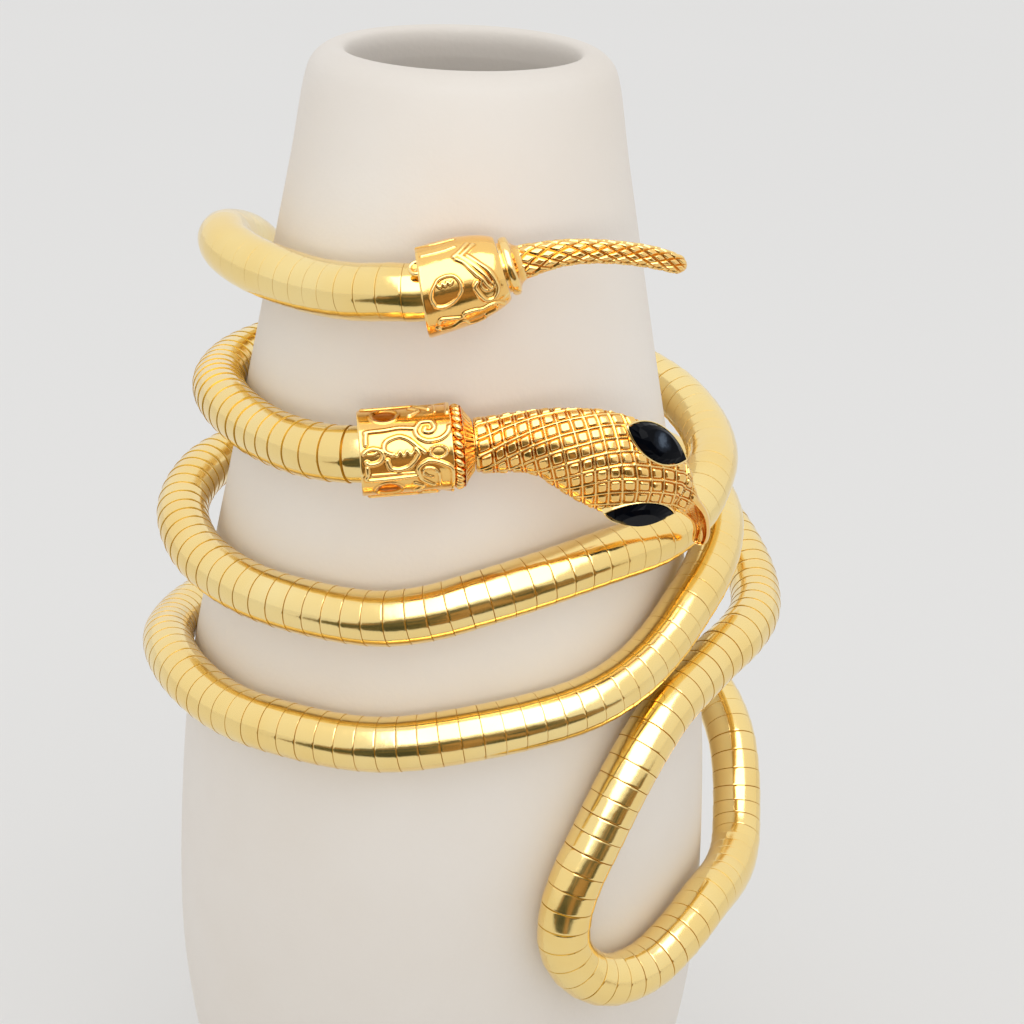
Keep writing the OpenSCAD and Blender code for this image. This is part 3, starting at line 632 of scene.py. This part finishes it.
def cast_gold():
    """Warm cast gold, with painted shade darker and more orange in its hollows and creases, and a painted
    highlight paler on its ridges.
    """
    material, tree, shader = new_material("cast_gold", Metallic=1)
    # Painted shade and painted highlight: darker orange in creases and paler on ridges, by pointiness.
    edge = add_node(tree, "ShaderNodeNewGeometry").outputs["Pointiness"]
    painted_shade_and_highlight = ramp(tree, edge, [(0.43, (0.82, 0.34, 0.04)), (0.5, (1, 0.62, 0.19)), (0.57, (1, 0.78, 0.36))])
    # Painted shade in the relief's hollows, from each point's painted shade amount.
    painted_shade = add_node(tree, "ShaderNodeAttribute", attribute_name="painted_shade").outputs["Fac"]
    mixed = add_node(tree, "ShaderNodeMix", data_type="RGBA")
    tree.links.new(painted_shade, mixed.inputs["Factor"])
    tree.links.new(painted_shade_and_highlight, mixed.inputs["A"])
    painted_shade_colour = (0.62, 0.2, 0.012)
    mixed.inputs["B"].default_value = (*painted_shade_colour, 1)
    tree.links.new(mixed.outputs["Result"], shader.inputs["Base Color"])
    add_polish(tree, shader, scale=500)
    add_bump(tree, shader, scale=900, detail=3, strength=0.3, distance=0.00008)
    return material


def black_stone():
    """Polished black stone, with a painted reflection: a grey-blue patch in the middle of the upper one."""
    material, tree, shader = new_material("black_stone", Roughness=0.04, IOR=1.5, Specular_IOR_Level=0.07)
    middle, axes = eye_frame(*EYES["eye_stone_upper"])
    place = add_node(tree, "ShaderNodeTexCoord").outputs["Object"]
    reach = PAINTED_GLINT_REACH * MM
    centred = add_node(tree, "ShaderNodeMapping", {"Vector": place}, Scale=(1 / reach,) * 3,
                       Location=tuple(-(middle + axes[2]) * MM / reach))
    painted_glint = add_node(tree, "ShaderNodeTexGradient", {"Vector": centred.outputs[0]},
                     gradient_type="SPHERICAL")
    grain = noise(tree, scale=900, detail=3)
    broken = add_node(tree, "ShaderNodeMath", {0: painted_glint.outputs["Fac"], 1: grain}, operation="MULTIPLY")
    # Painted reflection: the black stone turns grey-blue in the patch.
    tints = [(0.12, (0.001, 0.0015, 0.003)), (0.26, (0.012, 0.016, 0.024)), (0.4, (0.07, 0.09, 0.12))]
    add_tint(tree, shader, broken.outputs[0], tints)
    return material


def bisque():
    """Matt unglazed ceramic with a fine grain."""
    material, tree, shader = new_material("bisque", Roughness=0.72)
    tints = [(0.3, (0.765, 0.708, 0.64)), (0.7, (0.79, 0.742, 0.685))]
    add_tint(tree, shader, noise(tree, scale=45, detail=4), tints)
    add_bump(tree, shader, scale=1500, detail=4, strength=0.25, distance=0.00015)
    return material


def paper():
    """The pale floor."""
    material, tree, shader = new_material("paper", Roughness=0.9)
    tints = [(0, (0.8, 0.795, 0.785)), (1, (0.82, 0.815, 0.805))]
    add_tint(tree, shader, noise(tree, scale=3, detail=2), tints)
    return material


def dark_card():
    """A dark brown and green strip for the polished gold to mirror."""
    material, tree, shader = new_material("dark_card", Base_Color=(0, 0, 0, 1), Roughness=1,
                                          Emission_Strength=1)
    tints = [(0.4, (0.03, 0.035, 0.012)), (0.5, (0.1, 0.09, 0.035)), (0.56, (0.26, 0.15, 0.05)),
             (0.68, (0.38, 0.23, 0.09))]
    glow = ramp(tree, noise(tree, scale=9, detail=2), tints)
    tree.links.new(glow, shader.inputs["Emission Color"])
    return material


# Pieces

def make_vase(material):
    outside_pieces, inside_pieces = 6, 4
    outside = whole_curve(STAND_ROWS + LIP_ROWS, outside_pieces)
    inside = whole_curve(INSIDE_ROWS, inside_pieces)
    rows = np.concatenate([[(AXIS_GAP, 0)], outside, inside, [(AXIS_GAP, FOOT_THICKNESS)]])
    add_piece("vase_body", shell(turned(rows, VASE_SIDES)), material, "vase", SMOOTH_CREASE)


def route_points():
    """The rows of the chain's route as points."""
    turn, height, distance = np.array(ROUTE, float).T
    a = np.radians(turn)
    return np.stack([-distance * np.sin(a), -distance * np.cos(a), height], 1)


def band_rings(joints, middles, openness, random):
    """Rings of the chain: the groove at each joint, and the band from it to the next one, which follows
    the chain's bend for the most part."""
    t = unit(np.gradient(joints, axis=0))
    n = square_to(t, joints * (1, 1, 0))
    b = np.cross(t, n)
    spoke = spokes_round(n, b, round_angles(BAND_SIDES))
    half_width = SEAM_HALF_WIDTH[0] + SEAM_HALF_WIDTH[1] * openness
    depth = SEAM_DEPTH[0] + SEAM_DEPTH[1] * openness
    flare = np.interp(openness, (0, 1), BAND_FLARE)
    rings = [joints[0] + (CHAIN_RADIUS - depth[0]) * spoke[0]]
    tilts = random.normal(0, math.radians(BAND_TILT) * BAND_PITCH / 2, (len(joints) - 1, 2))
    for i, tilt in enumerate(tilts):
        step = joints[i + 1] - joints[i]
        bulge = (middles[i] - joints[i] - step / 2) * BAND_CURVE
        for share, after, height in BAND_ROWS:
            edge = half_width[i] if share < 0.5 else -half_width[i + 1] if share > 0.5 else 0
            place = share + (edge + after) / np.linalg.norm(step)
            shift = (n[i] * tilt[0] + b[i] * tilt[1]) * (2 * place - 1) + bulge * 4 * place * (1 - place)
            spokes = spoke[i] * (1 - place) + spoke[i + 1] * place
            radius = CHAIN_RADIUS + height + flare[i] * (1 - 2 * place)
            rings.append(joints[i] + step * place + shift + radius * spokes)
        rings.append(joints[i + 1] + (CHAIN_RADIUS - depth[i + 1]) * spoke[i + 1])
    return np.array(rings)


def make_chain(material, seam_shade_material):
    """The bands of the chain's two halves, cut at a seam, with a darker material in the seams as painted
    shade.
    """
    path = whole_curve(route_points(), ROUTE_PIECES)
    run = lengths(path)
    count = round(run[-1] / BAND_PITCH)
    points = spaced(path, 2 * count + 1)
    row = np.interp(np.linspace(0, run[-1], count + 1), run, np.arange(len(run)) / ROUTE_PIECES)
    random = np.random.default_rng(SEAM_SEED)
    openness = np.interp(row, *np.array(SEAM_ROWS).T) * random.uniform(*SEAM_SPREAD, count + 1)
    rings = band_rings(points[::2], points[1::2], openness, random)
    rings_a_band = len(BAND_ROWS) + 1
    cut = round(count * run[ROUTE_PIECES * HALF_ROW] / run[-1]) * rings_a_band
    for half, some_rings in (("head_half", rings[:cut + 1]), ("tail_half", rings[cut:])):
        piece = add_piece("chain_bands_" + half, shell(some_rings), material, "chain_" + half,
                          BAND_CREASE)
        piece.data.materials.append(seam_shade_material)
        ring_number = np.arange(len(piece.data.polygons)) // BAND_SIDES % rings_a_band
        in_seam = (ring_number == 0) | (ring_number == rings_a_band - 1)
        piece.data.polygons.foreach_set("material_index", in_seam.astype(np.int32))


def arch(half_width, height, roundness, angle):
    """Half a section of the head: places to the side and up for angles from -90 to 90 degrees."""
    s = np.sin(np.radians(angle))
    return half_width * s, height * np.clip(1 - np.abs(s) ** roundness, 0, None) ** (1 / roundness)


def eye_frame(side, place, distance, inward, tilt):
    """The middle of an eye and its directions along the stone, across it and out of it."""
    small_step = 0.02
    row, after = curve(HEAD_ROWS, [place, place + small_step])[:, :3]
    t = unit(after - row)
    n = square_to(t, HEAD_UP)
    s = np.cross(t, n) * side
    inward, tilt = math.radians(inward), math.radians(tilt)
    x = t * math.cos(inward) - s * math.sin(inward)
    out = square_to(x, n * math.cos(tilt) + s * math.sin(tilt))
    return row + s * distance + n * EYE_LIFT, np.stack([x, np.cross(out, x), out])


def oval_radius(grow):
    """Half length, half width and arc radius of the pointed oval, the stone's shape grown by a margin."""
    w = STONE_WIDTH / 2 + grow
    l = STONE_LENGTH / 2 + grow * POINT_MARGIN
    return l, w, (l * l + w * w) / (2 * w)


def pointed_oval(grow, count):
    """Points round the pointed oval, the same count on each of its two sides."""
    l, w, r = oval_radius(grow)
    a = np.linspace(-1, 1, count, endpoint=False) * math.asin(l / r)
    half = np.stack([r * np.sin(a), r * np.cos(a) - (r - w)], 1)
    return np.concatenate([half, -half])


def bezel(eye):
    """The raised rim round a stone."""
    half_sides = 60
    middle, axes = eye_frame(*eye)
    rings = []
    for grow, height in BEZEL_ROWS:
        outline = pointed_oval(grow, half_sides)
        flat = np.column_stack([outline, np.full(len(outline), height)])
        rings.append(middle + flat @ axes)
    return shell(rings, looped=True)


def scale_cells(side, up, middles, sides):
    """The column and row of scales at each place of the head's skin, which is flattened to find them."""
    steps = np.hypot(np.diff(side, axis=1), np.diff(up, axis=1))
    flat = np.concatenate([np.zeros((len(side), 1)), np.cumsum(steps, 1)], 1)
    flat = flat - flat[:, side.shape[1] // 2:side.shape[1] // 2 + 1]
    places = middles[:, None] + sides[:, None] * flat[..., None]
    x = (places[..., 0] - SCALE_MIDDLE[0]) / SCALE_REACH[0]
    z = (places[..., 2] - SCALE_MIDDLE[1]) / SCALE_REACH[1]
    powers = np.stack([x ** 0, x, z, x * x, x * z, z * z, x ** 3, x * x * z, x * z * z], -1)
    return powers @ np.array(SCALE_COLUMN_FACTORS), powers @ np.array(SCALE_ROW_FACTORS)


def hook_trough(before, across):
    """How deep the trough down the hook is, and its painted shade, at rows before the hook's end."""
    across = across - TROUGH_OFFSET
    inside = smooth_step(*TROUGH_SIDES, np.abs(across))
    inside = inside * smooth_step(*TROUGH_START, before) * smooth_step(*TROUGH_END, before)
    oval_place, half_length, half_width = TROUGH_OVAL
    off = np.hypot((before - oval_place) / half_length, across / half_width)
    oval = smooth_step(*TROUGH_OVAL_EDGE, off)
    along_it, across_it, aslant = TROUGH_WAVES
    waves = np.sin(-before * along_it) * np.sin(across * across_it - before * aslant)
    rough = TROUGH_ROUGHNESS * smooth_step(*TROUGH_ROUGH_FADE, before) * waves
    painted_shade, less = TROUGH_PAINTED_SHADE
    painted_shade_amounts = inside * (1 - oval) * (painted_shade - rough - less * across)
    return inside * (1 - TROUGH_OVAL_RISE * oval + rough), painted_shade_amounts


def head_rings():
    """Fine rings over the head and its hooked snout, with the square scales raised, and the painted shade
    between the scales and in the trough.
    """
    head_pieces, hook_pieces, over, under = 330, 12, 184, 40
    rows = HEAD_ROWS + HOOK_ROWS
    head_end, hook_end = len(HEAD_ROWS) - 1, len(rows) - 1
    places = np.concatenate([
        np.linspace(0, head_end, head_pieces),
        head_end + np.arange(1, hook_pieces * len(HOOK_ROWS) + 1) / hook_pieces])
    data = curve(rows, places)
    t = unit(np.gradient(data[:, :3], axis=0))
    n = square_to(t, HEAD_UP)
    s = np.cross(t, n)
    angle = np.linspace(-90, 90, over + 1)[None]
    side, up = arch(data[:, 3:4] + SCALE_HEIGHT / 2, data[:, 4:5] + SCALE_HEIGHT / 2, data[:, 6:7], angle)
    column, row = scale_cells(side, up, data[:, :3], s)
    fade = (smooth_step(*SCALES_END, places - head_end) * smooth_step(*SCALES_START, places))[:, None]
    fade = fade * smooth_step(*SCALES_SIDE, np.abs(angle))
    studs = stud_height(column + 0.5, row + 0.5)
    lift = SCALE_HEIGHT * studs * fade
    side, up = arch(data[:, 3:4] + lift, data[:, 4:5] + lift, data[:, 6:7], angle)
    trough, trough_painted_shade = hook_trough(hook_end - places[:, None], np.sin(np.radians(angle)))
    up = up - TROUGH_DEPTH * trough * data[:, 4:5]
    # Painted shade in the low places between the scales and in the hook's trough.
    painted_shade_amounts = np.maximum(smooth_step(*STUD_PAINTED_SHADE, studs) * fade, trough_painted_shade)
    below = np.linspace(90, -90, under + 2)[None, 1:-1]
    low_side, low = arch(data[:, 3:4], data[:, 5:6], UNDER_ROUNDNESS, below)
    side, up = np.concatenate([side, low_side], 1), np.concatenate([up, -low], 1)
    rings = data[:, None, :3] + s[:, None] * side[..., None] + n[:, None] * up[..., None]
    middle = rings[0].mean(0)
    neck = [middle + (rings[0] - middle) * share - t[0] * back for share, back in NECK_ROWS]
    painted_shade_amounts = np.pad(painted_shade_amounts, ((len(neck), 0), (0, under)))
    return np.concatenate([neck, rings]), painted_shade_amounts


def sink_under_eyes(rings):
    """Lowers the head's skin under each stone, so that it stays below the stone and inside the bezel."""
    for eye in EYES.values():
        middle, axes = eye_frame(*eye)
        local = (rings - middle) @ axes.T
        _, w, r = oval_radius(BED_MARGIN)
        inside = np.hypot(local[..., 0], np.abs(local[..., 1]) + r - w) < r
        near = inside & (local[..., 2] > BED_REACH)
        local[..., 2] = np.where(near, np.minimum(local[..., 2], BED_HEIGHT), local[..., 2])
        rings = np.where(near[..., None], middle + local @ axes, rings)
    return rings


def make_head(material):
    rings, painted_shade_amounts = head_rings()
    skins = [shell(sink_under_eyes(rings))] + [bezel(eye) for eye in EYES.values()]
    add_piece("head_casting", joined(skins), material, "snake_head", SMOOTH_CREASE, painted_shade_amounts)


def collar_rings(place, angle, radius, bore, depth, hole):
    """Rings of a collar: its outside, from the rim on, and back through the hollow that the chain fills."""
    a = np.radians(angle)
    cos, sin = np.cos(a), np.sin(a)
    outside = np.stack([radius * cos, radius * sin, place + 0 * radius], -1)
    end = place[-1].max()
    inside = turned([(hole, end), (hole, depth), (bore, depth)], angle.shape[1])
    chamfer = [np.stack([r * cos[0], r * sin[0], place[0] + up + 0 * a[0]], -1)
               for r, up in ((bore, CHAMFER_LENGTH), (bore + CHAMFER_WIDTH, 0))]
    return np.concatenate([outside, inside, chamfer])


def oval_height(x, y, width, length, ring, floor):
    """Height of a ringed oval: the ring's height at its edge and the floor's height inside."""
    off = 2 * np.hypot(x / width, y / length)
    inside = smooth_step(*OVAL_FLOOR_EDGE, off)
    return ring * smooth_step(*OVAL_RING_EDGE, off) * (1 - inside) + floor * inside


def add_ovals(relief, wall, ovals):
    """The relief with ringed ovals in it. Where an oval is sunk, it takes the place of what was there."""
    angle, place, radius, repeats, _ = wall
    pattern = 360 / repeats
    for middle, middle_place, width, length, ring, floor in ovals:
        x = np.radians((angle - middle + pattern / 2) % pattern - pattern / 2) * radius
        oval = oval_height(x, place - middle_place, width, length, ring, floor)
        relief = np.where(oval < 0, oval, np.maximum(relief, oval))
    return relief


def relief_painted_shade(relief):
    """Painted shade on the wall: most in its sunk places and at the feet of the raised lines."""
    foot = smooth_step(*FOOT_START, relief) * smooth_step(*FOOT_END, relief)
    return np.maximum(FOOT_PAINTED_SHADE * foot, smooth_step(*SUNK_PAINTED_SHADE, relief))


def head_collar_end(angle, place):
    """Radius of the beads and the fluted cone after the sleeve, and their painted shade."""
    share = np.clip((place - HEAD_COLLAR_SHOULDER) / (HEAD_COLLAR_END - HEAD_COLLAR_SHOULDER), 0, 1)
    flute = np.abs(np.sin(np.radians(angle * FLUTE_COUNT / 2)))
    cone = SHOULDER_RADIUS - (SHOULDER_RADIUS - CONE_END_RADIUS) * share ** CONE_CURVE
    cone = cone + FLUTE_HEIGHT * (flute - FLUTE_SUNK) * smooth_step(0, FLUTE_START, share)
    bead = (angle * BEAD_COUNT / 360 - BEAD_LEAN * (place - BEAD_PLACE)) % 1 - 0.5
    off = np.hypot(2 * bead, (place - BEAD_PLACE) / BEAD_REACH)
    beads = BEAD_RADIUS + BEAD_HEIGHT * np.sqrt(np.clip(1 - off ** 2, 0, None))
    in_beads = place < HEAD_COLLAR_SHOULDER - CONE_GAP
    # Painted shade in the gaps between the beads and in the flutes' valleys.
    painted_shade_amounts = np.where(in_beads, smooth_step(*BEAD_PAINTED_SHADE, off), FLUTE_PAINTED_SHADE * (1 - flute))
    return np.where(in_beads, beads, cone), painted_shade_amounts


def make_head_collar(material):
    rim_places, sleeve_start, edge_gap = (0, 0.05, 0.12), 0.2, 0.02
    sleeve_rings, end_rings = 104, 46
    angle = round_angles(COLLAR_SIDES)[None]
    place = np.concatenate([
        rim_places, np.linspace(sleeve_start, HEAD_COLLAR_SLEEVE - edge_gap, sleeve_rings),
        np.linspace(HEAD_COLLAR_SLEEVE + edge_gap, HEAD_COLLAR_END, end_rings)])[:, None]
    wall = (angle, place, HEAD_COLLAR_RADIUS, *HEAD_COLLAR_PATTERN)
    lines = wall_relief(wall, HEAD_COLLAR_LINES, *LINE_SIZE)
    fine = wall_relief(wall, HEAD_COLLAR_FINE_LINES, *FINE_LINE_SIZE)
    relief = add_ovals(np.maximum(lines, fine), wall, HEAD_COLLAR_OVALS)
    rounding = RIM_ROUNDING * smooth_step(ROUNDING_REACH, 0, place)
    sleeve_edge = smooth_step(HEAD_COLLAR_SLEEVE - ROUNDING_REACH, HEAD_COLLAR_SLEEVE, place)
    sleeve = HEAD_COLLAR_RADIUS + relief - rounding - SLEEVE_ROUNDING * sleeve_edge
    end, end_painted_shade = head_collar_end(angle, place)
    on_sleeve = place < HEAD_COLLAR_SLEEVE
    radius = np.where(on_sleeve, sleeve, end)
    painted_shade_amounts = np.where(on_sleeve, relief_painted_shade(relief), end_painted_shade)
    rings = collar_rings(place, angle, radius, *HEAD_COLLAR_HOLLOW)
    skin = placed(shell(rings, looped=True), *HEAD_COLLAR)
    add_piece("head_collar_casting", skin, material, "head_collar", COLLAR_CREASE, painted_shade_amounts)


def boss():
    """The small round boss on the tail collar's rim."""
    a = np.radians(round_angles(BOSS_SIDES))[:, None]
    turn = math.radians(BOSS_ANGLE)
    out = np.array([math.cos(turn), math.sin(turn), 0])
    beside = np.array([-math.sin(turn), math.cos(turn), 0])
    up = np.array([0, 0, 1])
    return shell([
        out * distance + up * BOSS_PLACE + radius * (beside * np.cos(a) + up * np.sin(a))
        for radius, distance in BOSS_ROWS])


def make_tail_collar(material):
    outline_pieces, wall_rings = 10, 112
    rim_shares, wall_start, crowding = (0, 0.004, 0.01), 0.018, 0.97
    angle = round_angles(COLLAR_SIDES)[None]
    middle, swing, highest = TAIL_RIM
    rim_place = middle + swing * np.cos(np.radians(angle - highest))
    outline = whole_curve(TAIL_COLLAR_ROWS, outline_pieces)
    share = np.concatenate([rim_shares, np.linspace(wall_start, 1, wall_rings)])[:, None] ** crowding
    place = rim_place + (outline[-1, 1] - rim_place) * share
    wall = (angle, place, TAIL_COLLAR_ROWS[1][0], *TAIL_COLLAR_PATTERN)
    lines = wall_relief(wall, TAIL_COLLAR_LINES, *LINE_SIZE)
    fine = wall_relief(wall, TAIL_COLLAR_FINE_LINES, *FINE_LINE_SIZE)
    band = wall_relief(wall, [TAIL_COLLAR_BAND], BAND_RELIEF)
    relief = np.maximum(add_ovals(np.maximum(lines, band), wall, TAIL_COLLAR_OVALS), fine)
    rounding = RIM_ROUNDING * smooth_step(TAIL_ROUNDING_SHARE, 0, share)
    radius = np.interp(place, outline[:, 1], outline[:, 0]) + relief - rounding
    rings = collar_rings(place, angle, radius, *TAIL_COLLAR_HOLLOW)
    skin = placed(joined([shell(rings, looped=True), boss()]), *TAIL_COLLAR)
    add_piece("tail_collar_casting", skin, material, "tail_collar", COLLAR_CREASE,
              relief_painted_shade(relief))


def tail_rings():
    """Fine rings along the curved tail, with its staggered scales raised, and the painted shade between
    them.
    """
    pieces, rings, sides = 20, 260, 128
    data = spaced(whole_curve(TAIL_ROWS, pieces), rings)
    run = lengths(data)[:, None]
    t = unit(np.gradient(data[:, :3], axis=0))
    n = square_to(t, (0, -1, 0))
    angle = round_angles(sides)
    scales = diamond_height(run / TAIL_SCALE_PITCH, angle[None] / 360 * TAIL_SCALES_ROUND)
    scaled = smooth_step(*TAIL_SCALES_START, run) * smooth_step(*TAIL_SCALES_END, run[-1] - run)
    radius = (data[:, 3:4] + (TAIL_SCALE_HEIGHT * scales - TAIL_SCALE_FOOT) * scaled)[..., None]
    points = data[:, None, :3] + radius * spokes_round(n, np.cross(t, n), angle)
    # Painted shade in the low places between the scales.
    return points, smooth_step(*TAIL_PAINTED_SHADE, scales) * scaled


def make_tail(material):
    rings, painted_shade_amounts = tail_rings()
    flange = placed(shell(turned(FLANGE_ROWS, FLANGE_SIDES)), *TAIL_COLLAR)
    skin = joined([shell(rings), flange])
    add_piece("tail_casting", skin, material, "snake_tail", SMOOTH_CREASE, painted_shade_amounts)


# Stage

def add_camera():
    """The camera at the photo's viewing angle."""
    pitch, yaw, roll = (math.radians(a) for a in (CAMERA_PITCH, CAMERA_YAW, CAMERA_ROLL))
    ahead = np.array([math.sin(yaw) * math.cos(pitch), math.cos(yaw) * math.cos(pitch), -math.sin(pitch)])
    level = np.array([math.cos(yaw), -math.sin(yaw), 0])
    upright = np.cross(level, ahead)
    right = math.cos(roll) * level + math.sin(roll) * upright
    up = -math.sin(roll) * level + math.cos(roll) * upright
    data = bpy.data.cameras.new("camera")
    data.lens = LENS
    data.sensor_width = SENSOR
    data.clip_start = CLIP_START
    camera = add_object("camera", data)
    matrix = Matrix(np.column_stack([right, up, -ahead])).to_4x4()
    matrix.translation = [c * MM for c in CAMERA_PLACE]
    camera.matrix_world = matrix
    bpy.context.scene.camera = camera


def add_sheet(name, corners, material):
    """A flat sheet of the stage, from its corners in metres."""
    mesh = bpy.data.meshes.new(name)
    mesh.from_pydata(corners, [], [range(len(corners))])
    mesh.materials.append(material)
    sheet = add_object(name, mesh)
    return sheet


def add_stage():
    """The plain floor, and the card that only the gold's reflections show."""
    r = FLOOR_REACH
    add_sheet("floor", [(-r, -r, 0), (r, -r, 0), (r, r, 0), (-r, r, 0)], paper())
    card = add_sheet("dark_card", CARD_CORNERS, dark_card())
    card.visible_camera = False
    card.visible_diffuse = False
    card.visible_shadow = False


def add_area_light(name, place, aim, size, watts):
    data = bpy.data.lights.new(name, "AREA")
    data.shape = "RECTANGLE"
    data.size, data.size_y = size
    data.energy = watts
    light = add_object(name, data)
    back = unit(np.array(place, float) - np.array(aim, float))
    side = unit(np.cross((0, 0, 1), back))
    matrix = Matrix(np.column_stack([side, np.cross(back, side), back])).to_4x4()
    matrix.translation = place
    light.matrix_world = matrix
    light.visible_camera = False
    return light


def add_light():
    """A soft white dome, one soft box high in front that only the polish shows, and weak lamps over
    the top and in front."""
    world = bpy.data.worlds.new("studio")
    bpy.context.scene.world = world
    world.use_nodes = True
    tree = world.node_tree
    background = tree.nodes["Background"]
    direction = add_node(tree, "ShaderNodeTexCoord").outputs["Generated"]
    axes = add_node(tree, "ShaderNodeSeparateXYZ", {"Vector": direction}).outputs
    greys = [(0, (0.9, 0.9, 0.9)), (1, (1, 1, 1))]
    tree.links.new(ramp(tree, axes["Z"], greys), background.inputs["Color"])
    background.inputs["Strength"].default_value = DOME_STRENGTH
    add_area_light("soft_box", *SOFT_BOX).visible_diffuse = False
    add_area_light("top_light", *TOP_LIGHT).visible_glossy = False
    front_light = add_area_light("front_light", *FRONT_LIGHT)
    front_light.data.spread = math.radians(FRONT_LIGHT_SPREAD)
    front_light.visible_glossy = False


def main():
    add_camera()
    add_stage()
    add_light()
    pale, warm, stone = chain_gold(), cast_gold(), black_stone()
    make_vase(bisque())
    make_chain(pale, seam_shade_gold())
    make_head_collar(warm)
    make_head(warm)
    make_tail_collar(warm)
    make_tail(warm)
    for name in EYES:
        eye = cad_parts[name]
        eye.data.materials.clear()
        eye.data.materials.append(stone)
    bpy.context.scene.view_settings.view_transform = "Standard"


main()
